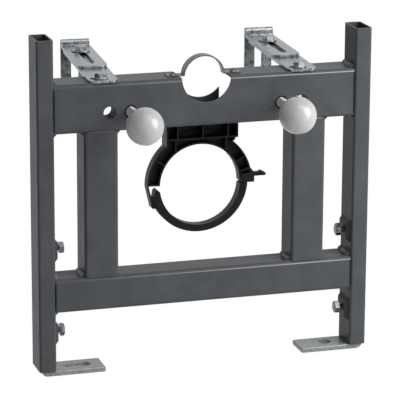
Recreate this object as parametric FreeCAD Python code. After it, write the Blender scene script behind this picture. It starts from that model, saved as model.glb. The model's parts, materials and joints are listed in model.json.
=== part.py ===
import FreeCAD, Part
import math
import os

os.makedirs("parts", exist_ok=True)

V = FreeCAD.Vector

# Overall sizes, millimetres, X across, Y towards the wall, Z up from the floor
frame_w = 400.0
upright_w = 20.0
upright_d = 40.0
upright_len = 390.0
right_short = 5.0
tube_t = 2.0
upright_r = 3.0
post_w = 40.0
post_in = 75.0
tube_r = 4.0
beam_set_back = 1.0
beam_d = 40.0
upper_h = 57.0
upper_t = 3.0
lower_h = 40.0
upper_top_up = 338.0
lower_top_up = 110.0
seat_gap = 0.3

# Fixing pattern of the pan and the pipes
stud_spacing = 180.0
free_step = 25.0
free_spacing = stud_spacing + 2 * free_step
stud_drop = 35.0
waste_drop = 135.0
stud_r = 6.0
stud_hole_r = 7.6
bush_r = 12.0
bush_len = 18.0
notch_r = 29.5
pipe_drop = 1.5

# Flush pipe seat and strap
saddle_y = 27.0
saddle_w = 45.0
saddle_r = 28.8
strap_r = 24.9
strap_t = 1.5
strap_w = 12.0
strap_mid_y = 18.0
strap_screw_x = 36.0
strap_screw_r = 2.0
strap_foot_end = 44.0

# Studs, nuts and ball caps
stud_front = -54.0
stud_back = 37.0
nut_af = 19.0
nut_h = 10.0
ball_r = 21.5
ball_y = -57.5
ball_sag = {-1: 4.0, 1: 2.6}
nib_r = 2.6
nib_h = 1.2
ball_flat = 1.6

# Waste pipe clamp
clamp_front = 22.0
block_x = (-42.0, 44.8)
block_d = 20.0
ring_front = 27.0
ring_d = 12.5
ring_r = 48.5
ring_wall = 15.3
jaw_r = 59.2
jaw_off = (-0.9, 2.6)
ledge_up = 6.8
block_clear = 2.0
rib_deg = (14.4, 29.0, 149.0)
rib_x = (-28.4, 2.0, 32.4)
low_rib_x = (-29.4, 31.4)
notch_in = 3.4
rib_t = 2.0
web_t = 3.0
clamp_screw_x = 36.0
clamp_screw_y = 27.0
clamp_screw_r = 2.5
split_deg = 1.3
clip_w = 16.1
clip_h = 10.8
tongue_len = 15.3
nose_t = 3.4
hinge_x = -56.0
hinge_drop = 23.0
hinge_r = 1.6
hinge_gap = 0.06
eye_r = 2.6
eye_len = 3.6

# Feet
foot_t = 6.0
foot_w = 35.0
foot_reach = 77.0
foot_bend = 8.0
foot_leg_len = 370.0
foot_travel = 200.0
foot_side_gap = 0.5
foot_hole_in = {-1: 22.0, 1: 34.7}
foot_hole_r = {-1: 7.0, 1: 7.8}
foot_slot_in = 34.0
foot_slot_len = 27.0
foot_slot_w = 9.0

# Clamping bolts on the uprights
boss_up = {1: (42.5, 139.2), -1: (44.5, 143.6)}
boss_h = 27.0
boss_w = 28.0
boss_out = 4.5
boss_slope = 3.6
boss_edge = 3.0
bolt_stand = 4.0
bolt_r = 4.0
bolt_gap = 0.4
head_af = 13.0
head_h = 5.0

# Wall brackets
strip_w = 34.4
strip_r = 8.5
strip_t = 3.0
bracket_in = {-1: 77.6, 1: 85.0}
bracket_turn = {-1: 4.2, 1: 2.6}
fold_rise = {-1: 6.8, 1: 9.0}
strip_shift = 1.5
strip_front = 0.0
strip_back = 184.0
plate_front = 67.0
wall_face = 197.0
fold_gap = 2.0
leg_drop = 92.0
slot_w = 9.0
strip_slot_x = -3.2
strip_slot_len = 18.6
rear_bolt_y = 152.0
front_bolt_y = 12.5
front_washer_r = 8.5
rear_washer_r = 11.0
washer_t = 1.6
plate_gap = 0.2
slot_y0 = 81.0
slot_y1 = 161.0

floor = 0.0
foot_top = floor + foot_t
up0 = foot_top + seat_gap
half_w = frame_w / 2
inner_x = half_w - upright_w
post_spread = half_w - post_in
upper_top = up0 + upper_top_up
upper_bot = upper_top - upper_h
lower_top = up0 + lower_top_up
lower_bot = lower_top - lower_h
beam_y0 = beam_set_back
beam_y1 = beam_set_back + beam_d
mid_y = upright_d / 2
stud_z = upper_top - stud_drop
notch_z = upper_top - 0.5
pipe_z = upper_top - pipe_drop
waste_z = upper_top - waste_drop
ring_z = waste_z + 1.5
hinge_z = ring_z - hinge_drop
clip_x0 = ring_r + 2.0
clip_x1 = clip_x0 + clip_w
clip_z0 = ring_z - 1.3
clip_z1 = clip_z0 + clip_h
strip_x = {s: s * (half_w - bracket_in[s]) for s in (-1, 1)}


# A bracket is built round x = 0, then turned about its front bolt and moved out
def bracket_point(s, x, y):
    a = math.radians(bracket_turn[s])
    dy = y - front_bolt_y
    px = strip_x[s] + x * math.cos(a) + dy * math.sin(a)
    py = front_bolt_y - x * math.sin(a) + dy * math.cos(a)
    return (px, py)


back_y = max(bracket_point(s, strip_shift - strip_w / 2, wall_face)[1] for s in (-1, 1))
# the origin is put under the middle of the whole, front of the caps to the wall face
origin_y = (ball_y - ball_r + back_y) / 2


def box(x0, x1, y0, y1, z0, z1):
    return Part.makeBox(x1 - x0, y1 - y0, z1 - z0, V(x0, y0, z0))


def rod(radius, a, b):
    a = V(*a)
    d = V(*b) - a
    return Part.makeCylinder(radius, d.Length, a, d)


def edges_along(shape, axis):
    picked = []
    for e in shape.Edges:
        if e.Curve.TypeId != "Part::GeomLine":
            continue
        t = e.tangentAt(e.FirstParameter)
        if abs(abs(t[axis]) - 1.0) < 1e-6:
            picked.append(e)
    return picked


def corner_edges(shape, axis, a, b):
    # straight edges along one axis at the place (a, b) of the other two
    others = [i for i in range(3) if i != axis]
    picked = []
    for e in edges_along(shape, axis):
        c = e.CenterOfMass
        if abs(c[others[0]] - a) < 0.01 and abs(c[others[1]] - b) < 0.01:
            picked.append(e)
    return picked


def rounded(shape, axis, r):
    return shape.makeFillet(r, edges_along(shape, axis))


def tube(x0, x1, y0, y1, z0, z1, axis, t, r):
    outer = rounded(box(x0, x1, y0, y1, z0, z1), axis, r)
    lo = [x0 + t, y0 + t, z0 + t]
    hi = [x1 - t, y1 - t, z1 - t]
    lo[axis] = (x0, y0, z0)[axis] - 1
    hi[axis] = (x1, y1, z1)[axis] + 1
    inner = rounded(box(lo[0], hi[0], lo[1], hi[1], lo[2], hi[2]), axis, r - t * 0.6)
    return outer.cut(inner)


def prism(points, axis, a, b):
    # points lie in the plane across the axis: (y, z), (x, z) or (x, y)
    def place(p):
        if axis == 0:
            return V(a, p[0], p[1])
        if axis == 1:
            return V(p[0], a, p[1])
        return V(p[0], p[1], a)
    wire = Part.makePolygon([place(p) for p in points] + [place(points[0])])
    step = [0, 0, 0]
    step[axis] = b - a
    return Part.Face(wire).extrude(V(*step))


def hexagon(cx, cy, af, turn=0.0):
    r = af / math.sqrt(3)
    return [(cx + r * math.cos(math.radians(60 * i + turn)), cy + r * math.sin(math.radians(60 * i + turn)))
            for i in range(6)]


def slot_z(cx, cy, length, width, z0, z1, along="y"):
    # vertical stadium cut, length measured over the round ends
    h = (length - width) / 2
    r = width / 2
    if along == "y":
        body = box(cx - r, cx + r, cy - h, cy + h, z0, z1)
        ends = [(cx, cy - h), (cx, cy + h)]
    else:
        body = box(cx - h, cx + h, cy - r, cy + r, z0, z1)
        ends = [(cx - h, cy), (cx + h, cy)]
    for ex, ey in ends:
        body = body.fuse(rod(r, (ex, ey, z0), (ex, ey, z1)))
    return body


def mirrored(shape):
    return shape.mirror(V(0, 0, 0), V(1, 0, 0))


def save(shape, name):
    if shape.ShapeType == "Compound" and len(shape.Solids) == 1:
        shape = shape.Solids[0]
    shape = shape.copy()
    shape.translate(V(0, -origin_y, 0))
    shape.exportStep("parts/" + name + ".step")


# Uprights with the clamp bolt holes through their inner walls
def upright_top(s):
    return up0 + upright_len - (right_short if s > 0 else 0.0)


def make_upright(s):
    body = tube(inner_x, half_w, 0, upright_d, up0, upright_top(s), 2, tube_t, upright_r)
    for z in boss_up[s]:
        low, high = inner_x - 1, inner_x + tube_t + 1
        body = body.cut(rod(bolt_r + bolt_gap, (low, mid_y, up0 + z), (high, mid_y, up0 + z)))
    return body


# Boss on the inner face of an upright, thick plate with sloped ends
def make_boss(z):
    z = up0 + z
    h = boss_h / 2
    face = inner_x - boss_out
    side = [(inner_x, z - h), (face, z - h + boss_slope), (face, z + h - boss_slope), (inner_x, z + h)]
    body = prism(side, 1, mid_y - boss_w / 2, mid_y + boss_w / 2)
    sides = [e for e in edges_along(body, 2) if abs(e.CenterOfMass.x - face) < 0.01]
    body = body.makeChamfer(boss_edge, sides)
    return body.cut(rod(bolt_r + bolt_gap, (inner_x + 1, mid_y, z), (face - 1, mid_y, z)))


# Hex bolt lying along X, its head stands off the boss and its tip presses on the foot leg in the upright
def make_clamp_bolt(z):
    z = up0 + z
    face = inner_x - boss_out - bolt_stand
    leg_face = half_w - tube_t - foot_side_gap - foot_t
    head = prism(hexagon(mid_y, z, head_af, 30), 0, face - head_h, face)
    head = head.common(rod(head_af / math.sqrt(3) - 0.4, (face - head_h, mid_y, z), (face, mid_y, z)))
    return head.fuse(rod(bolt_r, (face, mid_y, z), (leg_face - seat_gap, mid_y, z))).removeSplitter()


# Foot: flat bar bent up into the upright, screwed down through its floor part
def make_foot(s):
    x1 = half_w - tube_t - foot_side_gap
    x0 = x1 - foot_reach
    y0 = mid_y - foot_w / 2
    y1 = mid_y + foot_w / 2
    z1 = floor + foot_leg_len
    leg = x1 - foot_t
    profile = [(x0, floor), (x1, floor), (x1, z1), (leg, z1), (leg, foot_top), (x0, foot_top)]
    body = prism(profile, 1, y0, y1)
    outer = corner_edges(body, 1, x1, floor)
    body = body.makeFillet(foot_bend, outer)
    inner = corner_edges(body, 1, leg, foot_top)
    body = body.makeFillet(foot_bend - foot_t, inner)
    tip = [e for e in edges_along(body, 2) if abs(e.CenterOfMass.x - x0) < 0.01]
    body = body.makeFillet(2.0, tip)
    corners = [e for e in edges_along(body, 2) if e.CenterOfMass.x > leg - 0.01]
    body = body.makeChamfer(1.0, corners)
    hole_x = x0 + foot_hole_in[s]
    body = body.cut(rod(foot_hole_r[s], (hole_x, mid_y, floor - 1), (hole_x, mid_y, foot_top + 1)))
    if s < 0:
        # only the left foot also has a narrow slot, it runs from the hole towards the upright
        x = x0 + foot_slot_in
        body = body.cut(slot_z(x, mid_y, foot_slot_len, foot_slot_w, floor - 1, foot_top + 1, "x"))
    return body


# Upper beam: sheet channel open towards the wall
def make_upper_beam():
    body = box(-inner_x, inner_x, beam_y0, beam_y1, upper_bot, upper_top)
    front = [e for e in edges_along(body, 0) if abs(e.CenterOfMass.y - beam_y0) < 0.01]
    body = body.makeFillet(tube_r, front)
    low, high = upper_bot + upper_t, upper_top - upper_t
    hollow = box(-inner_x - 1, inner_x + 1, beam_y0 + upper_t, beam_y1 + 1, low, high)
    front = [e for e in edges_along(hollow, 0) if abs(e.CenterOfMass.y - beam_y0 - upper_t) < 0.01]
    body = body.cut(hollow.makeFillet(tube_r - upper_t + 0.5, front))
    body = body.cut(rod(notch_r, (0, beam_y0 - 1, notch_z), (0, beam_y1 + 1, notch_z)))
    for x in (stud_spacing / 2, free_spacing / 2):
        for s in (-1, 1):
            y1 = beam_y0 + upper_t + 1
            body = body.cut(rod(stud_hole_r, (s * x, beam_y0 - 1, stud_z), (s * x, y1, stud_z)))
    for s in (-1, 1):
        x = strip_x[s]
        low, high = upper_top - upper_t - 1, upper_top + 1
        body = body.cut(rod(bolt_r + bolt_gap, (x, front_bolt_y, low), (x, front_bolt_y, high)))
        body = body.cut(rod(strap_screw_r + 0.2, (s * strap_screw_x, strap_mid_y, low),
                            (s * strap_screw_x, strap_mid_y, high)))
        body = body.cut(rod(clamp_screw_r + 0.3, (s * clamp_screw_x, clamp_screw_y, upper_bot - 1),
                            (s * clamp_screw_x, clamp_screw_y, upper_bot + upper_t + 1)))
    return body


def make_lower_beam():
    return tube(-inner_x, inner_x, beam_y0, beam_y1, lower_bot, lower_top, 0, tube_t, tube_r)


def make_post():
    return tube(post_spread - post_w / 2, post_spread + post_w / 2, beam_y0, beam_y1, lower_top, upper_bot, 2,
                tube_t, tube_r)


def make_bush(x):
    y0 = beam_y0 + upper_t
    body = rod(bush_r, (x, y0, stud_z), (x, y0 + bush_len, stud_z))
    return body.cut(rod(stud_hole_r, (x, y0 - 1, stud_z), (x, y0 + bush_len + 1, stud_z)))


# Saddle plate behind the notch, standing on the lower flange of the channel
def make_saddle():
    body = box(-saddle_w / 2, saddle_w / 2, saddle_y, saddle_y + upper_t, upper_bot + upper_t, upper_top - 18)
    return body.cut(rod(saddle_r, (0, saddle_y - 1, notch_z), (0, saddle_y + upper_t + 1, notch_z)))


# Flush pipe strap
def make_strap():
    y0 = strap_mid_y - strap_w / 2
    y1 = strap_mid_y + strap_w / 2
    z = upper_top
    bore = rod(strap_r - strap_t, (0, y0 - 1, pipe_z), (0, y1 + 1, pipe_z))
    body = rod(strap_r, (0, y0, pipe_z), (0, y1, pipe_z)).cut(bore)
    body = body.cut(box(-strap_foot_end, strap_foot_end, y0 - 1, y1 + 1, z - strap_foot_end, z))
    for s in (-1, 1):
        xa, xb = sorted((s * (strap_r - strap_t + 0.2), s * strap_foot_end))
        body = body.fuse(box(xa, xb, y0, y1, z, z + strap_t))
    body = body.cut(bore).removeSplitter()
    for s in (-1, 1):
        x = s * strap_screw_x
        body = body.cut(rod(strap_screw_r + 0.2, (x, strap_mid_y, z - 1), (x, strap_mid_y, z + 9)))
    return body


def make_strap_screw(s):
    x = s * strap_screw_x
    z = upper_top + strap_t
    shaft = rod(strap_screw_r, (x, strap_mid_y, z - 9), (x, strap_mid_y, z))
    room = box(x - 6, x + 6, strap_mid_y - 6, strap_mid_y + 6, z, z + 9)
    head = Part.makeSphere(5.0, V(x, strap_mid_y, z - 2.2)).common(room)
    cross = box(x - 2.2, x + 2.2, strap_mid_y - 0.5, strap_mid_y + 0.5, z + 1.6, z + 9)
    cross = cross.fuse(box(x - 0.5, x + 0.5, strap_mid_y - 2.2, strap_mid_y + 2.2, z + 1.6, z + 9))
    return shaft.fuse(head).cut(cross)


# Studs for the pan, held by a nut behind each bush
def make_stud(s):
    x = s * stud_spacing / 2
    body = rod(stud_r, (x, stud_front, stud_z), (x, stud_back, stud_z))
    return body.makeChamfer(1.0, [e for e in body.Edges if e.Curve.TypeId == "Part::GeomCircle"])


def make_stud_nut(s):
    x = s * stud_spacing / 2
    y0 = beam_y0 + upper_t + bush_len
    body = prism(hexagon(x, stud_z, nut_af), 1, y0, y0 + nut_h)
    body = body.common(rod(nut_af / math.sqrt(3) - 0.5, (x, y0, stud_z), (x, y0 + nut_h, stud_z)))
    return body.cut(rod(stud_r + 0.05, (x, y0 - 1, stud_z), (x, y0 + nut_h + 1, stud_z)))


def make_ball(s):
    x = s * stud_spacing / 2
    z = stud_z - ball_sag[s]
    r = ball_r
    body = Part.makeSphere(r, V(x, ball_y, z))
    body = body.cut(box(x - r, x + r, ball_y + r - ball_flat, ball_y + r + 1, z - r, z + r))
    if s > 0:
        # stub left where the cap was cut from its runner
        top = z + r + nib_h
        nib = rod(nib_r, (x, ball_y, z + r - 4), (x, ball_y, top))
        rim = [e for e in nib.Edges if abs(e.CenterOfMass.z - top) < 0.01]
        body = body.fuse(nib.makeFillet(nib_h * 0.7, rim))
    return body.cut(rod(stud_r + 0.1, (x, stud_front - 0.5, stud_z), (x, ball_y + r + 1, stud_z)))


# Waste pipe clamp
def ring_sector(r0, r1, y0, y1, a0, a1):
    # annular sector about the waste axis, angles in degrees from +X towards +Z
    def at(r, a):
        return V(r * math.cos(math.radians(a)), y0, ring_z + r * math.sin(math.radians(a)))
    mid = (a0 + a1) / 2
    outer = Part.Arc(at(r1, a0), at(r1, mid), at(r1, a1)).toShape()
    inner = Part.Arc(at(r0, a1), at(r0, mid), at(r0, a0)).toShape()
    first = Part.makeLine(at(r0, a0), at(r1, a0))
    last = Part.makeLine(at(r1, a1), at(r0, a1))
    return Part.Face(Part.Wire([outer, last, inner, first])).extrude(V(0, y1 - y0, 0))


def make_clamp_body():
    y0, y1 = ring_front, ring_front + ring_d
    b0, b1 = clamp_front, clamp_front + block_d
    r0, r1 = ring_r, ring_r + ring_wall
    a0, a1 = split_deg, 180 - split_deg
    xa, xb = block_x
    top = upper_bot
    ledge = ring_z + r0 + ledge_up
    # the outer skin stops where it meets the side walls of the block
    meet_a = math.degrees(math.acos((xb - notch_in - rib_t) / r1))
    meet_b = math.degrees(math.acos(xa / r1))
    meet_z = ring_z + r1 * math.sin(math.radians(meet_b))
    body = ring_sector(r0, r0 + rib_t, y0, y1, a0, a1)
    body = body.fuse(ring_sector(r1 - rib_t, r1, y0, y1, a0, meet_a))
    body = body.fuse(ring_sector(r1 - rib_t, r1, y0, y1, meet_b, a1))
    body = body.fuse(ring_sector(r0, r1, y1 - web_t, y1, a0, a1))
    for a in rib_deg + (a0 + 1.2, a1 - 1.2):
        body = body.fuse(ring_sector(r0, r1, y0, y1, a - 1.0, a + 1.0))
    # block under the beam: back web, top, ledge, side walls and upright ribs
    body = body.fuse(box(xa, xb, b1 - web_t, b1, ledge - 2, top))
    body = body.fuse(box(xa + 1, xb - notch_in - 1, y1 - web_t, b1, meet_z - 4, ledge))
    body = body.fuse(box(xa, xb, b0, b1, top - 3, top))
    body = body.fuse(box(xa, xb, b0, b1, ledge, ledge + rib_t))
    body = body.fuse(box(xa, xa + rib_t, b0, b1, meet_z - 1, top))
    body = body.fuse(box(xb - rib_t, xb, b0, b1, ledge, top))
    notch_end = ledge - 5.5
    notch = [(xb, ledge + 1), (xb - notch_in, notch_end), (xb - notch_in - rib_t - 1, notch_end),
             (xb - rib_t, ledge + 1)]
    body = body.fuse(prism(notch, 1, y0, y1))
    for x in rib_x:
        body = body.fuse(box(x - rib_t / 2, x + rib_t / 2, b0, b1, ledge, top))
    for x in low_rib_x:
        body = body.fuse(box(x - rib_t / 2, x + rib_t / 2, y0, y1, ring_z + r0 * 0.6, ledge + 1))
    # gusset from the ring to the root of the tongue
    gusset = [(r1 - 2.6, 17.0), (clip_x1, clip_h - 1.0), (clip_x1 - 5, clip_h - 3.0)]
    body = body.fuse(prism([(x, ring_z + z) for x, z in gusset], 1, y0, y1))
    # the pipe is held over the depth of the ring only, the block behind it stands clear
    body = body.cut(rod(r0, (0, 0, ring_z), (0, y1, ring_z)))
    return body.cut(rod(r0 + block_clear, (0, y1, ring_z), (0, b1 + 1, ring_z)))


def make_clip_block():
    return box(clip_x0, clip_x1, ring_front, ring_front + ring_d, clip_z0, clip_z1)


def make_clip_hollow():
    # open below, the nose of the jaw rises into it
    y0, y1 = ring_front, ring_front + ring_d
    return box(clip_x0 + 1.5, clip_x1 - 3.5, y0 + 2, y1 - 2, clip_z0 - 2, clip_z1 - 2)


def make_tongue():
    x, z = clip_x1, clip_z1
    end = x + tongue_len
    side = [(x - 1.0, z - 4.6), (end - 1.5, z - 4.6), (end, z - 3.2), (end, z - 2.0), (end - 5.0, z + 0.9),
            (end - 7.0, z + 0.9), (end - 8.0, z - 0.3), (x - 1.0, z - 0.3)]
    return prism(side, 1, ring_front + 3, ring_front + ring_d - 3)


# Strap from the outer skin down to the two eyes that carry the jaw
def make_hook():
    y0, y1 = ring_front, ring_front + ring_d
    r1 = ring_r + ring_wall
    start = ring_z + 6.0
    side = [(-r1 + 0.4, start), (-r1 + rib_t, start), (-r1 + rib_t, ring_z), (hinge_x - 0.5, hinge_z + 2.2),
            (hinge_x - 0.5, hinge_z), (hinge_x - eye_r + 0.1, hinge_z), (-r1, ring_z)]
    body = prism(side, 1, y0, y1)
    for ya, yb in ((y0, y0 + eye_len), (y1 - eye_len, y1)):
        body = body.fuse(rod(eye_r, (hinge_x, ya, hinge_z), (hinge_x, yb, hinge_z)))
    # room for the knuckle of the jaw between the eyes
    x = hinge_x + 0.4
    body = body.cut(rod(eye_r + 0.3, (x, y0 + eye_len, hinge_z), (x, y1 - eye_len, hinge_z)))
    return body.cut(rod(hinge_r + hinge_gap, (hinge_x, y0 - 1, hinge_z), (hinge_x, y1 + 1, hinge_z)))


def make_clamp():
    body = make_clamp_body().fuse(make_clip_block()).cut(make_clip_hollow())
    body = body.fuse(make_tongue()).fuse(make_hook()).removeSplitter()
    for s in (-1, 1):
        x = s * clamp_screw_x
        low, high = upper_bot - 4, upper_bot + 1
        body = body.cut(rod(clamp_screw_r - 0.2, (x, clamp_screw_y, low), (x, clamp_screw_y, high)))
    return body


def make_jaw():
    y0, y1 = ring_front, ring_front + ring_d
    r0 = ring_r
    far = jaw_r * 1.3
    # the band is thinner at the bottom than at its two ends
    jx, jz = jaw_off[0], ring_z + jaw_off[1]
    body = rod(jaw_r, (jx, y0, jz), (jx, y1, jz))
    below = [(-far, -14.0), (-r0 / 2, -14.0), (0, -1.8), (far, -1.8), (far, -far), (-far, -far)]
    body = body.common(prism([(x, ring_z + z) for x, z in below], 1, y0 - 1, y1 + 1))
    # pointed left tip above the hinge
    tip = [(-r0 - 7.6, -15.0), (-r0 - 6.0, -5.4), (-r0 - 3.2, -3.2), (-r0 + 0.6, -6.6), (-r0 + 2.6, -15.0)]
    body = body.fuse(prism([(x, ring_z + z) for x, z in tip], 1, y0, y1))
    # room for the eyes of the hook
    for ya, yb in ((y0 - 1, y0 + eye_len + 0.3), (y1 - eye_len - 0.3, y1 + 1)):
        body = body.cut(rod(eye_r + 0.8, (hinge_x, ya, hinge_z), (hinge_x, yb, hinge_z)))
    # nose that rises into the clip block
    x = clip_x0 + 2.2
    body = body.fuse(box(x, x + nose_t, y0 + 2.6, y1 - 2.6, ring_z - 4, clip_z1 - 3.2))
    # knuckle between the eyes of the hook, with its arm to the band
    ya = y0 + eye_len + 0.3
    yb = y1 - eye_len - 0.3
    body = body.fuse(box(hinge_x, hinge_x + 6, ya, yb, hinge_z - 2, hinge_z + 2))
    body = body.cut(rod(r0, (0, 0, ring_z), (0, y1 + 9, ring_z)))
    body = body.fuse(rod(eye_r - 0.3, (hinge_x, ya, hinge_z), (hinge_x, yb, hinge_z)))
    body = body.fuse(rod(hinge_r, (hinge_x, y0 + 0.4, hinge_z), (hinge_x, y1 - 0.4, hinge_z)))
    return body.removeSplitter()


def make_clamp_screw(s):
    x = s * clamp_screw_x
    z = upper_bot + upper_t
    shaft = rod(clamp_screw_r - 0.3, (x, clamp_screw_y, upper_bot - 3.6), (x, clamp_screw_y, z))
    head = rod(5.0, (x, clamp_screw_y, z), (x, clamp_screw_y, z + 3.0))
    return shaft.fuse(head)


# Lower strip of a wall bracket, bolted on the beam through a cross slot
def make_strip():
    x0 = strip_shift - strip_w / 2
    x1 = x0 + strip_w
    body = box(x0, x1, strip_front, strip_back, upper_top, upper_top + strip_t)
    body = body.makeFillet(strip_r, edges_along(body, 2))
    low, high = upper_top - 1, upper_top + strip_t + 1
    body = body.cut(slot_z(strip_slot_x, front_bolt_y, strip_slot_len, slot_w, low, high, "x"))
    x = strip_shift
    return body.cut(rod(bolt_r + bolt_gap, (x, rear_bolt_y, low), (x, rear_bolt_y, high)))


def make_wall_plate(s):
    x0 = strip_shift - strip_w / 2
    x1 = x0 + strip_w
    z0 = upper_top + strip_t + plate_gap
    t = strip_t
    fold_y = wall_face - 2 * t - fold_gap
    top = z0 + t + fold_rise[s]
    r = (2 * t + fold_gap) / 2
    leg_bot = z0 + t + fold_rise[1] - leg_drop
    # one strip: flat, up the lip, over the fold, down the wall leg
    flat = box(x0, x1, plate_front, fold_y + t, z0, z0 + t)
    lip = box(x0, x1, fold_y, fold_y + t, z0, top - r)
    leg = box(x0, x1, wall_face - t, wall_face, leg_bot, top - r)
    cap = rod(r, (x0, fold_y + r, top - r), (x1, fold_y + r, top - r))
    cap = cap.cut(rod(r - t, (x0 - 1, fold_y + r, top - r), (x1 + 1, fold_y + r, top - r)))
    cap = cap.cut(box(x0 - 1, x1 + 1, fold_y - 1, wall_face + 1, top - 3 * r, top - r))
    body = flat.fuse(lip).fuse(leg).fuse(cap).removeSplitter()
    body = body.makeFillet(t + 0.6, corner_edges(body, 0, fold_y + t, z0))
    body = body.makeFillet(0.9, corner_edges(body, 0, fold_y, z0 + t))
    front = [e for e in edges_along(body, 2) if abs(e.CenterOfMass.y - plate_front) < 0.01]
    body = body.makeFillet(strip_r, front)
    foot = [e for e in edges_along(body, 1) if abs(e.CenterOfMass.z - leg_bot) < 0.01]
    body = body.makeFillet(6.0, foot)
    x = strip_shift
    body = body.cut(slot_z(x, (slot_y0 + slot_y1) / 2, slot_y1 - slot_y0, slot_w, z0 - 1, z0 + t + 1))
    low, high = leg_bot + 12, z0 + t - 14
    wall_slot = box(x - slot_w / 2, x + slot_w / 2, wall_face - t - 1, wall_face + 1, low, high)
    for z in (low, high):
        wall_slot = wall_slot.fuse(rod(slot_w / 2, (x, wall_face - t - 1, z), (x, wall_face + 1, z)))
    return body.cut(wall_slot)


def make_bracket_bolt(x, y, under, over, washer_r):
    # under: lowest clamped face, over: highest clamped face
    z = over
    washer = rod(washer_r, (x, y, z), (x, y, z + washer_t))
    z = z + washer_t
    head = prism(hexagon(x, y, head_af, 10), 2, z, z + head_h)
    head = head.common(rod(head_af / math.sqrt(3) - 0.4, (x, y, z), (x, y, z + head_h)))
    shaft = rod(bolt_r, (x, y, under - 9.0), (x, y, over))
    nut = prism(hexagon(x, y, head_af), 2, under - 6.5, under)
    return shaft.fuse(washer).fuse(head).fuse(nut).removeSplitter()


def save_both(shape, name):
    # the shape is built on the right; the left one is its mirror image
    save(shape, "right_" + name)
    save(mirrored(shape), "left_" + name)


def save_brackets(s, side):
    over = upper_top + 2 * strip_t + 2 * plate_gap
    front_bolt = make_bracket_bolt(0, front_bolt_y, upper_top - upper_t, upper_top + strip_t, front_washer_r)
    parts = (("beam_strip", make_strip()),
             ("wall_bracket", make_wall_plate(s)),
             ("front_bolt", front_bolt),
             ("rear_bolt", make_bracket_bolt(strip_shift, rear_bolt_y, upper_top, over, rear_washer_r)))
    for name, shape in parts:
        piece = shape.copy()
        piece.rotate(V(0, front_bolt_y, 0), V(0, 0, 1), -bracket_turn[s])
        piece.translate(V(strip_x[s], 0, 0))
        save(piece, side + name)


def make_side(s, side):
    # bosses and bolts sit higher on the left upright, which is also the longer one
    turn = mirrored if s < 0 else (lambda shape: shape)
    save(turn(make_upright(s)), side + "upright")
    save(turn(make_foot(s)), side + "foot")
    for tag, z in zip(("lower", "upper"), boss_up[s]):
        save(turn(make_boss(z)), side + tag + "_boss")
        save(turn(make_clamp_bolt(z)), side + tag + "_foot_bolt")
    save(make_bush(s * stud_spacing / 2), side + "stud_bush")
    save(make_bush(s * free_spacing / 2), side + "free_bush")
    save(make_stud(s), side + "stud")
    save(make_stud_nut(s), side + "stud_nut")
    save(make_ball(s), side + "ball_cap")
    save(make_strap_screw(s), side + "strap_screw")
    save(make_clamp_screw(s), side + "clamp_screw")
    save_brackets(s, side)


def make_all():
    make_side(-1, "left_")
    make_side(1, "right_")
    save_both(make_post(), "post")
    save(make_upper_beam(), "upper_beam")
    save(make_lower_beam(), "lower_beam")
    save(make_saddle(), "saddle_plate")
    save(make_strap(), "pipe_strap")
    save(make_clamp(), "clamp_body")
    save(make_jaw(), "clamp_jaw")


if __name__ == "__main__":
    make_all()
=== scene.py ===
import json
import math
import random

import bmesh
import bpy
from mathutils import Matrix, Vector


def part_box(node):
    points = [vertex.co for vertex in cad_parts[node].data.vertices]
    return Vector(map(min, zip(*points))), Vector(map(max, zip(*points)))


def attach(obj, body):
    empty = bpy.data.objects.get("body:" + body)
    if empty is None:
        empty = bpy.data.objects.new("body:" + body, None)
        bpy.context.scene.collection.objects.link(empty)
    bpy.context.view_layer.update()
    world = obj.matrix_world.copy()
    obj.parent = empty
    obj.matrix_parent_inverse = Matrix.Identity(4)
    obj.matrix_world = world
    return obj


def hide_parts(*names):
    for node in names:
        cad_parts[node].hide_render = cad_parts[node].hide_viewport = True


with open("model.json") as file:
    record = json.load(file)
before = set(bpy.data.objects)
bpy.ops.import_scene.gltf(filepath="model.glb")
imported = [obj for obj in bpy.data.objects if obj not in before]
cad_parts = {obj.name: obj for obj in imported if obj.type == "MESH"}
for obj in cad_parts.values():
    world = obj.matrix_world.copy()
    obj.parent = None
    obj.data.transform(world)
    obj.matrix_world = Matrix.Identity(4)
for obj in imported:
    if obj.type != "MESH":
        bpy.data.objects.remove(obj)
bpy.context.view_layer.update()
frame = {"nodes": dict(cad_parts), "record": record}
nodes = frame["nodes"]
print("frame loaded:", len(nodes), "nodes")


# Node helpers
def newMaterial(name):
    mat = bpy.data.materials.new(name)
    mat.use_nodes = True
    tree = mat.node_tree
    tree.nodes.clear()
    out = tree.nodes.new("ShaderNodeOutputMaterial")
    shader = tree.nodes.new("ShaderNodeBsdfPrincipled")
    tree.links.new(shader.outputs["BSDF"], out.inputs["Surface"])
    place = tree.nodes.new("ShaderNodeTexCoord")
    return mat, tree, shader, place.outputs["Object"]


def noiseAt(tree, coords, scale, detail=2.0, roughness=0.5):
    noise = tree.nodes.new("ShaderNodeTexNoise")
    noise.inputs["Scale"].default_value = scale
    noise.inputs["Detail"].default_value = detail
    noise.inputs["Roughness"].default_value = roughness
    tree.links.new(coords, noise.inputs["Vector"])
    return noise.outputs["Fac"]


def ramp(tree, value, stops):
    stops = list(stops)
    node = tree.nodes.new("ShaderNodeValToRGB")
    points = node.color_ramp.elements
    while len(points) < len(stops):
        points.new(0.5)
    for point, (at, colour) in zip(points, stops):
        point.position = at
        point.color = (*colour, 1.0)
    tree.links.new(value, node.inputs["Fac"])
    return node.outputs["Color"]


def spread(tree, value, low, high):
    # a noise lies mostly between 0.25 and 0.75
    node = tree.nodes.new("ShaderNodeMapRange")
    node.inputs["From Min"].default_value = 0.25
    node.inputs["From Max"].default_value = 0.75
    node.inputs["To Min"].default_value = low
    node.inputs["To Max"].default_value = high
    tree.links.new(value, node.inputs["Value"])
    return node.outputs["Result"]


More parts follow.
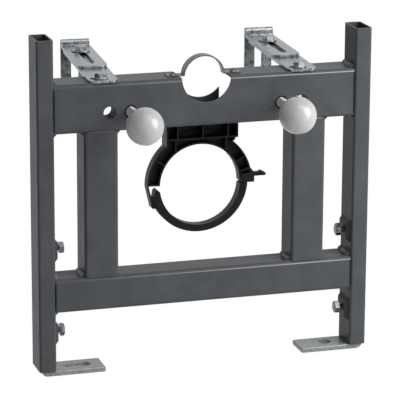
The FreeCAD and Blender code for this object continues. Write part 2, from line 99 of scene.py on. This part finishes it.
def bumps(tree, shader, layers, rounding=None):
    # layers: (height output, distance in metres, strength), laid one over another
    last = None
    if rounding:
        edge = tree.nodes.new("ShaderNodeBevel")
        edge.samples = 6
        edge.inputs["Radius"].default_value = rounding
        last = edge.outputs["Normal"]
    for height, distance, strength in layers:
        node = tree.nodes.new("ShaderNodeBump")
        node.inputs["Distance"].default_value = distance
        node.inputs["Strength"].default_value = strength
        tree.links.new(height, node.inputs["Height"])
        if last is not None:
            tree.links.new(last, node.inputs["Normal"])
        last = node.outputs["Normal"]
    tree.links.new(last, shader.inputs["Normal"])


# Finishes
paintLook = {"dark": (0.0535, 0.0572, 0.0622), "light": (0.0692, 0.0733, 0.0792), "mottleScale": 35.0,
             "peelScale": 900.0, "peelDepth": 0.00003}
# colour and masks of the painted highlight on the rounded front edges of the beams
edgeHighlightLook = {"paintedHighlight": (0.3, 0.31, 0.325), "least": 0.05, "most": 0.8, "fromX": -0.15, "toX": 0.1,
            "slope": (0.02, 0.07, 0.27, 0.37), "ahead": -0.3}


def paintedEdgeHighlight(tree, coords, colour):
    # painted highlight: the coat is made paler low on the rounded front edges of the beams, more so to the
    # right, in place of the lamps' reflection along them
    shape = tree.nodes.new("ShaderNodeNewGeometry")
    facing = tree.nodes.new("ShaderNodeSeparateXYZ")
    tree.links.new(shape.outputs["True Normal"], facing.inputs["Vector"])
    black, white = (0, 0, 0), (1, 1, 1)
    low = ramp(tree, facing.outputs["Z"], zip(edgeHighlightLook["slope"], (black, white, white, black)))
    ahead = tree.nodes.new("ShaderNodeMath")
    ahead.operation = "LESS_THAN"
    ahead.inputs[1].default_value = edgeHighlightLook["ahead"]
    tree.links.new(facing.outputs["Y"], ahead.inputs[0])
    place = tree.nodes.new("ShaderNodeSeparateXYZ")
    tree.links.new(coords, place.inputs["Vector"])
    along = tree.nodes.new("ShaderNodeMapRange")
    for name, value in (("From Min", edgeHighlightLook["fromX"]), ("From Max", edgeHighlightLook["toX"]),
                        ("To Min", edgeHighlightLook["least"]), ("To Max", edgeHighlightLook["most"])):
        along.inputs[name].default_value = value
    tree.links.new(place.outputs["X"], along.inputs["Value"])
    amount = along.outputs["Result"]
    for factor in (ahead.outputs["Value"], low):
        times = tree.nodes.new("ShaderNodeMath")
        times.operation = "MULTIPLY"
        tree.links.new(amount, times.inputs[0])
        tree.links.new(factor, times.inputs[1])
        amount = times.outputs["Value"]
    mix = tree.nodes.new("ShaderNodeMix")
    mix.data_type = "RGBA"
    tree.links.new(amount, mix.inputs["Factor"])
    tree.links.new(colour, mix.inputs["A"])
    mix.inputs["B"].default_value = (*edgeHighlightLook["paintedHighlight"], 1)
    return mix.outputs["Result"]


def powderCoat(name, roughLow, roughHigh, specular, depth=1.0, paintedHighlight=True):
    mat, tree, shader, coords = newMaterial(name)
    mottle = noiseAt(tree, coords, paintLook["mottleScale"], 4.0, 0.6)
    peel = noiseAt(tree, coords, paintLook["peelScale"])
    # depth below 1 darkens the whole coat, used as painted shade for the welds, bosses and seams
    dark, light = [[depth * c for c in paintLook[tone]] for tone in ("dark", "light")]
    colour = ramp(tree, mottle, [(0.3, dark), (0.7, light)])
    # painted highlight on the rounded front edges
    if paintedHighlight:
        colour = paintedEdgeHighlight(tree, coords, colour)
    tree.links.new(colour, shader.inputs["Base Color"])
    tree.links.new(spread(tree, mottle, roughLow, roughHigh), shader.inputs["Roughness"])
    shader.inputs["Specular IOR Level"].default_value = specular
    bumps(tree, shader, [(peel, paintLook["peelDepth"], 0.5)])
    return mat


stripZinc = {"dark": (0.082, 0.09, 0.097), "light": (0.335, 0.362, 0.382), "spangleScale": 260.0,
             "cloudScale": 260.0, "metal": 0.7, "roughLow": 0.22, "roughHigh": 0.38,
             "bumpDepth": 0.0001, "bumpStrength": 0.4}
footZinc = {"dark": (0.115, 0.122, 0.125), "light": (0.265, 0.279, 0.283), "spangleScale": 700.0,
            "cloudScale": 700.0, "metal": 0.35, "roughLow": 0.34, "roughHigh": 0.48,
            "bumpDepth": 0.00004, "bumpStrength": 0.3}
zincGrain = {"cloudShare": 0.55, "scale": 1400.0, "depth": 0.00003, "strength": 0.4, "rounding": 0.0007}


def galvanised(name, zincLook):
    mat, tree, shader, coords = newMaterial(name)
    cells = tree.nodes.new("ShaderNodeTexVoronoi")
    cells.inputs["Scale"].default_value = zincLook["spangleScale"]
    tree.links.new(coords, cells.inputs["Vector"])
    cloud = noiseAt(tree, coords, zincLook["cloudScale"], 5.0, 0.7)
    mix = tree.nodes.new("ShaderNodeMix")
    mix.data_type = "FLOAT"
    mix.inputs["Factor"].default_value = zincGrain["cloudShare"]
    grey = tree.nodes.new("ShaderNodeRGBToBW")
    tree.links.new(cells.outputs["Color"], grey.inputs["Color"])
    tree.links.new(grey.outputs["Val"], mix.inputs["A"])
    tree.links.new(cloud, mix.inputs["B"])
    both = mix.outputs["Result"]
    colour = ramp(tree, both, [(0.25, zincLook["dark"]), (0.75, zincLook["light"])])
    tree.links.new(colour, shader.inputs["Base Color"])
    shader.inputs["Metallic"].default_value = zincLook["metal"]
    rough = spread(tree, both, zincLook["roughLow"], zincLook["roughHigh"])
    tree.links.new(rough, shader.inputs["Roughness"])
    fine = noiseAt(tree, coords, zincGrain["scale"])
    bumps(tree, shader, [(cloud, zincLook["bumpDepth"], zincLook["bumpStrength"]),
                         (fine, zincGrain["depth"], zincGrain["strength"])], zincGrain["rounding"])
    return mat


# cloud is scale, detail and roughness of the noise; ripple is depth and strength of its bumps;
# grain is scale, depth and strength of a finer noise
plateLook = {"cloud": (220.0, 4.0, 0.55), "dark": (0.12, 0.124, 0.128), "light": (0.28, 0.287, 0.294),
             "lightAt": 0.65, "roughLow": 0.26, "roughHigh": 0.4, "metal": 1.0,
             "grain": (1800.0, 0.00002, 0.35), "rounding": 0.0004}
studLook = {"cloud": (300.0, 3.0, 0.5), "dark": (0.11, 0.112, 0.115), "light": (0.19, 0.193, 0.197),
            "lightAt": 0.65, "roughLow": 0.16, "roughHigh": 0.24, "metal": 1.0}
boltLook = {"cloud": (300.0, 3.0, 0.5), "dark": (0.06, 0.062, 0.064), "light": (0.19, 0.194, 0.199),
            "lightAt": 0.65, "roughLow": 0.24, "roughHigh": 0.36, "metal": 1.0}
# painted shade: the bushes are near black, for the shade inside the holes
bushShadeLook = {"cloud": (400.0, 3.0, 0.5), "dark": (0.006, 0.006, 0.007), "light": (0.014, 0.014, 0.015),
            "lightAt": 0.7, "roughLow": 0.45, "roughHigh": 0.6, "specular": 0.1}
strapLook = {"cloud": (180.0, 4.0, 0.55), "dark": (0.07, 0.073, 0.076), "light": (0.13, 0.135, 0.14),
             "lightAt": 0.7, "roughLow": 0.3, "roughHigh": 0.42, "metal": 0.85, "ripple": (0.00004, 0.3)}
brassLook = {"cloud": (260.0, 4.0, 0.55), "dark": (0.04, 0.036, 0.026), "light": (0.15, 0.13, 0.085),
             "lightAt": 0.7, "roughLow": 0.2, "roughHigh": 0.36, "metal": 1.0, "ripple": (0.00004, 0.4)}
clampLook = {"cloud": (70.0, 4.0, 0.6), "dark": (0.004, 0.004, 0.0044), "light": (0.0075, 0.0075, 0.008),
             "lightAt": 0.7, "roughLow": 0.34, "roughHigh": 0.46, "specular": 0.12,
             "grain": (2200.0, 0.00003, 0.5)}
capLook = {"cloud": (45.0, 3.0, 0.5), "dark": (0.325, 0.33, 0.32), "light": (0.365, 0.37, 0.36),
           "lightAt": 0.7, "roughLow": 0.2, "roughHigh": 0.26, "sheen": 0.3, "sheenRough": 0.5,
           "ripple": (0.0006, 0.25), "grain": (900.0, 0.00003, 0.3)}
socketOf = {"metal": "Metallic", "specular": "Specular IOR Level", "sheen": "Sheen Weight",
            "sheenRough": "Sheen Roughness"}


def cloudedFinish(name, look):
    # one cloudy noise varies both the colour and the roughness
    mat, tree, shader, coords = newMaterial(name)
    cloud = noiseAt(tree, coords, *look["cloud"])
    colour = ramp(tree, cloud, [(0.3, look["dark"]), (look["lightAt"], look["light"])])
    tree.links.new(colour, shader.inputs["Base Color"])
    rough = spread(tree, cloud, look["roughLow"], look["roughHigh"])
    tree.links.new(rough, shader.inputs["Roughness"])
    for key, socket in socketOf.items():
        if key in look:
            shader.inputs[socket].default_value = look[key]
    layers = []
    if "ripple" in look:
        layers.append((cloud, *look["ripple"]))
    if "grain" in look:
        scale, depth, strength = look["grain"]
        layers.append((noiseAt(tree, coords, scale), depth, strength))
    if layers:
        bumps(tree, shader, layers, look.get("rounding"))
    return mat


finishes = {"frame_paint": powderCoat("greyPowderCoat", 0.3, 0.4, 0.055),
            # painted shade: the welds get a darker copy of the frame paint, for the shade in the corners
            # where they sit
            "weld_shade_paint": powderCoat("shadedWeldCoat", 0.24, 0.36, 0.2, depth=0.75),
            # painted shade: the bosses get a darker copy of the frame paint, for the shade on the inner faces
            # of the uprights
            "boss_shade_paint": powderCoat("shadedBossCoat", 0.3, 0.4, 0.055, depth=0.75, paintedHighlight=False),
            # painted shadow: a near-black copy of the frame paint for the gap where each beam end meets its
            # upright
            "seam_shadow_paint": powderCoat("seamShadowCoat", 0.3, 0.4, 0.15, depth=0.25, paintedHighlight=False),
            "galvanised": galvanised("galvanisedStrip", stripZinc),
            "foot_zinc": galvanised("galvanisedFoot", footZinc),
            "plated": cloudedFinish("brightZincPlate", plateLook),
            "strap_steel": cloudedFinish("darkStrapSteel", strapLook),
            "screw_brass": cloudedFinish("yellowPassivated", brassLook),
            "clamp_plastic": cloudedFinish("blackMoulding", clampLook),
            "cap_plastic": cloudedFinish("greyCapMoulding", capLook),
            "stud_steel": cloudedFinish("brightStudSteel", studLook),
            "bolt_steel": cloudedFinish("footBoltSteel", boltLook),
            "bush_shade_steel": cloudedFinish("shadedBushSteel", bushShadeLook)}
slotOf = {s["node"]: s["material_slot"] for s in frame["record"]["subparts"]}
for name, node in nodes.items():
    node.data.materials.clear()
    finish = slotOf[name]
    if name in ("left_foot", "right_foot"):
        finish = "foot_zinc"
    # painted shade: bosses take the darker copy of the frame paint
    if name.endswith("_boss"):
        finish = "boss_shade_paint"
    node.data.materials.append(finishes[finish])
print("finishes made")


# Shapes shared by the added pieces
roundSteps = {"head": 48, "shaft": 24, "stud": 48, "bush": 56}
thread = {"crest": 0.12, "root": 0.56}
hexRim = 0.0002


def newPiece(name, bm, slot, body="frame", sharpAngle=32, finish=None):
    bmesh.ops.recalc_face_normals(bm, faces=bm.faces)
    mesh = bpy.data.meshes.new(name)
    bm.to_mesh(mesh)
    bm.free()
    for face in mesh.polygons:
        face.use_smooth = True
    mesh.set_sharp_from_angle(angle=math.radians(sharpAngle))
    piece = bpy.data.objects.new(name, mesh)
    bpy.context.scene.collection.objects.link(piece)
    mesh.materials.append(finishes[finish or slot])
    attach(piece, body)
    return piece


def lathe(bm, profile, segments):
    # profile runs from axis to axis in the XZ plane and is turned about Z
    points = [bm.verts.new((x, 0, z)) for x, z in profile]
    edges = [bm.edges.new(pair) for pair in zip(points, points[1:])]
    bmesh.ops.spin(bm, geom=points + edges, cent=(0, 0, 0), axis=(0, 0, 1), angle=math.tau,
                   steps=segments, use_merge=True)
    bmesh.ops.remove_doubles(bm, verts=bm.verts, dist=1e-6)


def threadProfile(radius, depth, pitch, start, end):
    # ridges stand for the thread, which is too fine to follow as a helix
    turns = int((end - start) / pitch)
    points = []
    for i in range(turns):
        z = start + i * pitch
        crest, root = z + pitch * thread["crest"], z + pitch * thread["root"]
        points += [(radius, z), (radius, crest), (radius - depth, root)]
    return points + [(radius, start + turns * pitch)]


def aimed(bm, place, direction, turn=0.0):
    turned = Vector(direction).to_track_quat("Z", "Y").to_matrix().to_4x4() @ Matrix.Rotation(turn, 4, "Z")
    bmesh.ops.transform(bm, matrix=Matrix.Translation(place) @ turned, verts=bm.verts)


# Welds: short runs of bead in the corners of the frame, painted over
weld = {"leg": {"left": 0.0047, "right": 0.0036}, "postLeg": 0.0036, "frontLeg": 0.0024, "seamLeg": 0.0014,
        "step": 0.0015, "wobble": 0.14, "sunk": 0.0004, "end": 0.5, "seed": 7, "tubeEdge": 0.004,
        "frontIn": 0.0026, "endIn": 0.003, "backIn": 0.001}
weldDice = random.Random(weld["seed"])


def weldRun(bm, start, end, across, upward, leg):
    start, end = Vector(start), Vector(end)
    across, upward = Vector(across), Vector(upward)
    # the end face of the bead in shares of its leg, sunk a little into both metals
    sunk = -weld["sunk"] / leg
    section = ((sunk, sunk), (1.0, sunk), (0.94, 0.14), (0.6, 0.56), (0.14, 0.94), (sunk, 1.0))
    face = bm.faces.new([bm.verts.new(start + leg * (u * across + v * upward)) for u, v in section])
    run = list(face.verts)
    steps = max(3, round((end - start).length / weld["step"]))
    ahead = (end - start).normalized()
    stride = (end - start).length / steps
    for i in range(steps):
        grown = bmesh.ops.extrude_face_region(bm, geom=[face])["geom"]
        fresh = [g for g in grown if isinstance(g, bmesh.types.BMVert)]
        bmesh.ops.translate(bm, vec=ahead * stride, verts=fresh)
        if i:
            bm.faces.remove(face)
        face = next(g for g in grown if isinstance(g, bmesh.types.BMFace))
        run += fresh
    sizes = [1.0 + weldDice.uniform(-weld["wobble"], weld["wobble"]) for i in range(steps + 1)]
    sizes[0] = sizes[-1] = weld["end"]
    for vert in run:
        along = (vert.co - start).dot(ahead)
        foot = start + ahead * along
        vert.co = foot + (vert.co - foot) * sizes[round(along / stride)]


def makeWelds():
    for beam in ("upper_beam", "lower_beam"):
        low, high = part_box(beam)
        for s, side in ((-1, "left"), (1, "right")):
            bm = bmesh.new()
            x = (high if s > 0 else low)[0]
            back, front = high[1] - weld["backIn"], low[1] + weld["tubeEdge"]
            for z, up in ((high[2], 1), (low[2], -1)):
                weldRun(bm, (x, front, z), (x, back, z), (-s, 0, 0), (0, 0, up), weld["leg"][side])
            name = side + beam.split("_")[0].capitalize()
            newPiece(name + "BeamWelds", bm, "frame_paint", finish="weld_shade_paint")
            # painted shadow: a thin dark bead down the front of the joint stands for the shadow in the gap
            # between beam end and upright
            bm = bmesh.new()
            weldRun(bm, (x, low[1], low[2] + weld["endIn"]), (x, low[1], high[2] - weld["endIn"]),
                    (-s, 0, 0), (0, -1, 0), weld["seamLeg"])
            newPiece(name + "BeamShadowSeam", bm, "frame_paint", finish="seam_shadow_paint")
    for side in ("left", "right"):
        low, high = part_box(side + "_post")
        bm = bmesh.new()
        front, back = low[1] + weld["tubeEdge"], high[1] - weld["tubeEdge"]
        for z, up in ((high[2], -1), (low[2], 1)):
            for x, out in ((low[0], -1), (high[0], 1)):
                weldRun(bm, (x, front, z), (x, back, z), (out, 0, 0), (0, 0, up), weld["postLeg"])
        # the seam across the front, where the rounded beam meets the flat post
        y = low[1] + weld["frontIn"]
        for z, up in ((high[2], 1), (low[2], -1)):
            weldRun(bm, (low[0] + weld["endIn"], y, z), (high[0] - weld["endIn"], y, z), (0, -1, 0),
                    (0, 0, up), weld["frontLeg"])
        newPiece(side + "PostWelds", bm, "frame_paint", finish="weld_shade_paint")


makeWelds()
print("welds laid")


# Hexagon bolts: head with a chamfered top, washer, threaded shaft
def hexHead(bm, acrossFlats, low, height, chamfer):
    # a lathed disc with a chamfered rim, cut down to six flats
    r = acrossFlats / math.sqrt(3)
    top = low + height
    inner = acrossFlats / 2 - hexRim
    lathe(bm, [(0, top), (inner, top), (r, top - chamfer), (r, low), (0, low)], roundSteps["head"])
    for i in range(6):
        turn = math.radians(60 * i)
        flat = Vector((math.cos(turn), math.sin(turn), 0))
        cut = bmesh.ops.bisect_plane(bm, geom=bm.verts[:] + bm.edges[:] + bm.faces[:],
                                     plane_co=flat * acrossFlats / 2, plane_no=flat, clear_outer=True)
        edges = [g for g in cut["geom_cut"] if isinstance(g, bmesh.types.BMEdge)]
        bmesh.ops.holes_fill(bm, edges=edges)


def joined(*parts):
    # one mesh out of several closed parts
    whole = bmesh.new()
    for part in parts:
        mesh = bpy.data.meshes.new("part")
        part.to_mesh(mesh)
        part.free()
        whole.from_mesh(mesh)
        bpy.data.meshes.remove(mesh)
    return whole


footBolt = {"flats": 0.013, "head": 0.005, "chamfer": 0.0007, "shaft": 0.004, "thread": 0.0005,
            "pitch": 0.00125, "turn": {"lower": 37, "upper": 12}}


def makeFootBolts():
    look = footBolt
    for s, side in ((-1, "left"), (1, "right")):
        for level in ("lower", "upper"):
            node = side + "_" + level + "_foot_bolt"
            low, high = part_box(node)
            y = (low[1] + high[1]) / 2
            z = (low[2] + high[2]) / 2
            length = high[0] - low[0]
            head = bmesh.new()
            hexHead(head, look["flats"], 0, look["head"], look["chamfer"])
            shaft = bmesh.new()
            turns = threadProfile(look["shaft"], look["thread"], look["pitch"], look["head"] - length, 0)
            reach = turns[0][1]
            core = look["shaft"] - look["thread"]
            lathe(shaft, [(0, reach), (core, reach)] + turns + [(0, turns[-1][1])], roundSteps["shaft"])
            bm = joined(head, shaft)
            outer = (low if s > 0 else high)[0] + s * look["head"]
            aimed(bm, (outer, y, z), (-s, 0, 0), math.radians(look["turn"][level]))
            piece = newPiece(side + level.capitalize() + "FootBolt", bm, "plated", finish="bolt_steel")
            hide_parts(node)


bracketBolt = {"flats": 0.013, "head": 0.005, "chamfer": 0.0008, "shaft": 0.004, "thread": 0.0005,
               "pitch": 0.00125, "washer": 0.0016, "bevel": 0.0003, "tail": 0.009, "nut": 0.0065,
               "turn": {"left": 36, "right": 38}}


def makeBracketBolts():
    look = bracketBolt
    for side in ("left", "right"):
        for end in ("front", "rear"):
            node = side + "_" + end + "_bolt"
            low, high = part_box(node)
            x, y = (low[0] + high[0]) / 2, (low[1] + high[1]) / 2
            washerR = (high[1] - low[1]) / 2
            seat = look["washer"]
            washer = bmesh.new()
            bevel = look["bevel"]
            lathe(washer, [(0, 0), (washerR - bevel, 0), (washerR, bevel), (washerR, seat - bevel),
                           (washerR - bevel, seat), (0, seat)], roundSteps["head"])
            head = bmesh.new()
            hexHead(head, look["flats"], seat, look["head"], look["chamfer"])
            bottom = low[2] - (high[2] - look["head"] - seat)
            shaft = bmesh.new()
            turns = threadProfile(look["shaft"], look["thread"], look["pitch"], bottom, 0)
            core = look["shaft"] - look["thread"]
            lathe(shaft, [(0, bottom), (core, bottom)] + turns + [(core, 0), (0, 0)], roundSteps["shaft"])
            nut = bmesh.new()
            hexHead(nut, look["flats"], bottom + look["tail"] - look["nut"], look["nut"], look["chamfer"])
            bm = joined(washer, head, shaft, nut)
            aimed(bm, (x, y, high[2] - look["head"] - seat), (0, 0, 1), math.radians(look["turn"][side]))
            piece = newPiece(side + end.capitalize() + "Bolt", bm, "plated")
            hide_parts(node)


makeFootBolts()
makeBracketBolts()
print("bolts made")


# Studs: threaded rod
stud = {"chamfer": 0.001, "thread": 0.0009, "pitch": 0.00175}


def makeStuds():
    for side in ("left", "right"):
        node = side + "_stud"
        low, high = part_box(node)
        x, z = (low[0] + high[0]) / 2, (low[2] + high[2]) / 2
        r = (high[0] - low[0]) / 2
        length = high[1] - low[1]
        ends = stud["chamfer"]
        bm = bmesh.new()
        turns = threadProfile(r, stud["thread"], stud["pitch"], ends, length - ends)
        lathe(bm, [(0, 0), (r - ends, 0)] + turns + [(r - ends, length), (0, length)], roundSteps["stud"])
        aimed(bm, (x, low[1], z), (0, 1, 0))
        piece = newPiece(side + "Stud", bm, "plated", finish="stud_steel")
        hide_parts(node)


# Threaded bushes behind the two spare holes, their noses fill the holes of the beam; they are coloured near
# black as painted shade inside the holes
spareBush = {"bore": 0.0071, "outer": 0.012, "noseOuter": 0.0075, "nose": 0.0026, "bevel": 0.0004,
             "length": 0.019}


def makeSpareBushes():
    look = spareBush
    for side in ("left", "right"):
        node = side + "_free_bush"
        low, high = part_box(node)
        x, z = (low[0] + high[0]) / 2, (low[2] + high[2]) / 2
        bm = bmesh.new()
        tip = -look["nose"]
        ring = [(look["bore"] + look["bevel"], tip), (look["noseOuter"], tip), (look["noseOuter"], 0),
                (look["outer"], 0), (look["outer"], look["length"]), (look["bore"], look["length"]),
                (look["bore"], look["bevel"] + tip)]
        lathe(bm, ring + ring[:1], roundSteps["bush"])
        aimed(bm, (x, low[1], z), (0, 1, 0))
        piece = newPiece(side + "SpareBush", bm, slotOf[node], finish="bush_shade_steel")
        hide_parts(node)


makeStuds()
makeSpareBushes()
print("studs and bushes made")


# Studio
studio = {"floorColour": (0.93, 0.93, 0.93), "floorRough": 0.9, "floorSize": 6.0, "worldLevel": 0.17}


def lensRays(tree):
    # 1 where the lens, a shiny finish or glass looks, 0 where light and shade are worked out
    rays = tree.nodes.new("ShaderNodeLightPath")
    last = rays.outputs["Is Camera Ray"]
    for kind in ("Is Glossy Ray", "Is Transmission Ray"):
        either = tree.nodes.new("ShaderNodeMath")
        either.operation = "MAXIMUM"
        tree.links.new(last, either.inputs[0])
        tree.links.new(rays.outputs[kind], either.inputs[1])
        last = either.outputs["Value"]
    return last


def whiteToLens(mat):
    tree = mat.node_tree
    out = next(n for n in tree.nodes if n.type == "OUTPUT_MATERIAL")
    own = out.inputs["Surface"].links[0].from_socket
    glow = tree.nodes.new("ShaderNodeEmission")
    mix = tree.nodes.new("ShaderNodeMixShader")
    tree.links.new(lensRays(tree), mix.inputs["Fac"])
    tree.links.new(own, mix.inputs[1])
    tree.links.new(glow.outputs["Emission"], mix.inputs[2])
    tree.links.new(mix.outputs["Shader"], out.inputs["Surface"])


def buildStudio():
    world = bpy.data.worlds.new("studioWorld")
    bpy.context.scene.world = world
    world.use_nodes = True
    tree = world.node_tree
    back = tree.nodes["Background"]
    level = tree.nodes.new("ShaderNodeMapRange")
    level.inputs["To Min"].default_value = studio["worldLevel"]
    level.inputs["To Max"].default_value = 1.0
    tree.links.new(lensRays(tree), level.inputs["Value"])
    tree.links.new(level.outputs["Result"], back.inputs["Strength"])
    back.inputs["Color"].default_value = (1, 1, 1, 1)

    mesh = bpy.data.meshes.new("studioFloor")
    bm = bmesh.new()
    bmesh.ops.create_grid(bm, x_segments=1, y_segments=1, size=studio["floorSize"])
    bm.to_mesh(mesh)
    bm.free()
    floor = bpy.data.objects.new("studioFloor", mesh)
    bpy.context.scene.collection.objects.link(floor)
    mat = bpy.data.materials.new("paleFloor")
    mat.use_nodes = True
    shader = mat.node_tree.nodes["Principled BSDF"]
    shader.inputs["Base Color"].default_value = (*studio["floorColour"], 1)
    shader.inputs["Roughness"].default_value = studio["floorRough"]
    whiteToLens(mat)
    mesh.materials.append(mat)


# The small glint lamp beside the key gives the caps their glint; soft False keeps it out of the diffuse light
lamps = {"keyLight": {"at": (1.05, -0.9, 0.92), "target": (0, 0, 0.2), "size": 1.2, "power": 30.5},
         "fillLight": {"at": (-0.75, -2.4, 0.35), "target": (0, 0, 0.2), "size": 0.2, "power": 0.8},
         "topLight": {"at": (0.5, -1.2, 2.4), "target": (0, 0, 0.2), "size": 1.6, "power": 22.0},
         "glintLight": {"at": (1.15, -1.15, 0.24), "target": (0, 0, 0.25), "size": 0.22, "power": 3.0,
                        "soft": False}}


def areaLight(name, at, target, size, power, soft=True):
    light = bpy.data.lights.new(name, "AREA")
    light.shape = "DISK"
    light.size = size
    light.energy = power
    lamp = bpy.data.objects.new(name, light)
    lamp.location = at
    lamp.rotation_euler = (Vector(target) - Vector(at)).to_track_quat("-Z", "Y").to_euler()
    lamp.visible_diffuse = soft
    bpy.context.scene.collection.objects.link(lamp)


# Fitted to the photo: turn, tilt and roll in degrees, focal length in pixels of a 400 pixel frame
lens = {"turn": -16.944, "tilt": 15.104, "roll": 0.3, "focal": 2455.264, "frame": 400, "sensor": 36.0,
        "at": (-0.80683, -2.681095, 0.939315), "far": 100}


def buildCamera():
    turn, tilt, roll = (math.radians(lens[key]) for key in ("turn", "tilt", "roll"))
    back = Vector((math.sin(turn) * math.cos(tilt), -math.cos(turn) * math.cos(tilt), math.sin(tilt)))
    side = Vector((math.cos(turn), math.sin(turn), 0))
    up = back.cross(side)
    right = math.cos(roll) * side + math.sin(roll) * up
    over = -math.sin(roll) * side + math.cos(roll) * up
    data = bpy.data.cameras.new("photoCamera")
    data.sensor_width = lens["sensor"]
    data.lens = lens["focal"] / lens["frame"] * lens["sensor"]
    data.clip_end = lens["far"]
    camera = bpy.data.objects.new("photoCamera", data)
    x, y, z = lens["at"]
    camera.matrix_world = Matrix((
        (right.x, over.x, back.x, x),
        (right.y, over.y, back.y, y),
        (right.z, over.z, back.z, z),
        (0, 0, 0, 1)))
    bpy.context.scene.collection.objects.link(camera)
    bpy.context.scene.camera = camera


buildStudio()
for name, lamp in lamps.items():
    areaLight(name, **lamp)
buildCamera()
bpy.context.scene.view_settings.view_transform = "Standard"
print("studio and camera ready")
